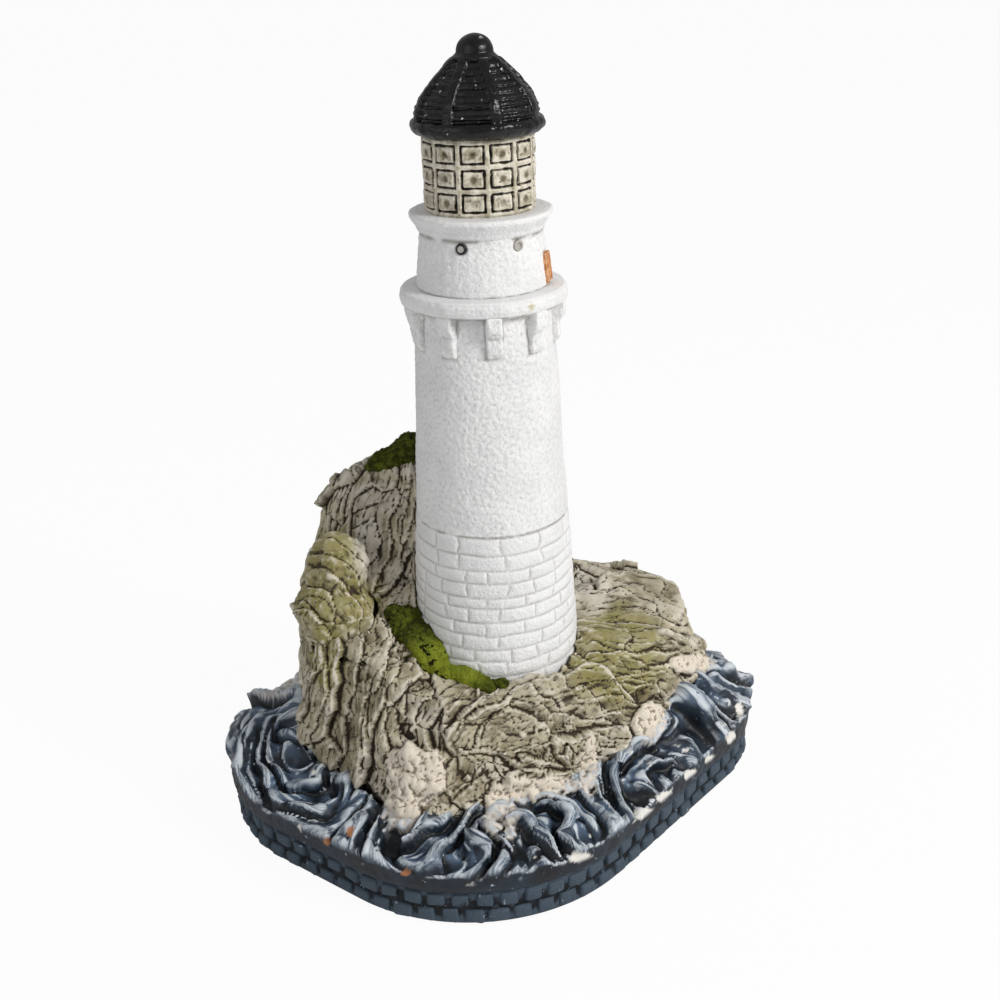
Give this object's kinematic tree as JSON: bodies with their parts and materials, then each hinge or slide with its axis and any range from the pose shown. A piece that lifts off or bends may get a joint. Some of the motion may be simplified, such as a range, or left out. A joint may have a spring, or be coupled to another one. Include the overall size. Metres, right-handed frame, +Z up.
{
  "type": "garden lighthouse ornament",
  "caption": "Painted cast lighthouse with a domed lantern, standing on a layered rock with a cliff, in a ring of waves on a cobbled base with a flat felt underside.",
  "frame": {"origin": "middle of the underside, at the centre of the base's plan", "axes": "+Z up along the tower, +X to the right and -Y towards the front, where the two portholes and the low front of the rock are"},
  "size_m": [0.2054, 0.1628, 0.2808],
  "materials": {
    "felt": "dark green baize, cut flush with the underside",
    "sea_paint": "cast gypsum painted dark navy, dry-brushed light blue and white on the crests",
    "rock_paint": "cast gypsum painted taupe with a brown-black wash in the cracks",
    "turf": "green flock scatter bonded to the rock",
    "white_paint": "cast gypsum painted white, roughcast and masonry relief, matt",
    "lantern_paint": "cast gypsum painted ivory with a black-brown wash between the bars",
    "roof_paint": "cast gypsum painted glossy black, dusty",
    "porthole_paint": "black paint on a small disc, worn pale in the dish",
    "door_paint": "rust orange paint, worn"
  },
  "bodies": {
    "root": {"felt_pad": "felt", "plinth": "sea_paint", "sea": "sea_paint", "crag": "rock_paint", "cliff": "rock_paint", "boulders": "rock_paint", "foot_turf": "turf", "cliff_turf": "turf", "masonry_foot": "white_paint", "tower_shaft": "white_paint", "gallery_deck": "white_paint", "corbels": "white_paint", "watch_room": "white_paint", "portholes": "porthole_paint", "gallery_door": "door_paint", "upper_gallery": "white_paint", "lantern_room": "lantern_paint", "roof": "roof_paint", "finial": "roof_paint"}
  },
  "joints": []
}
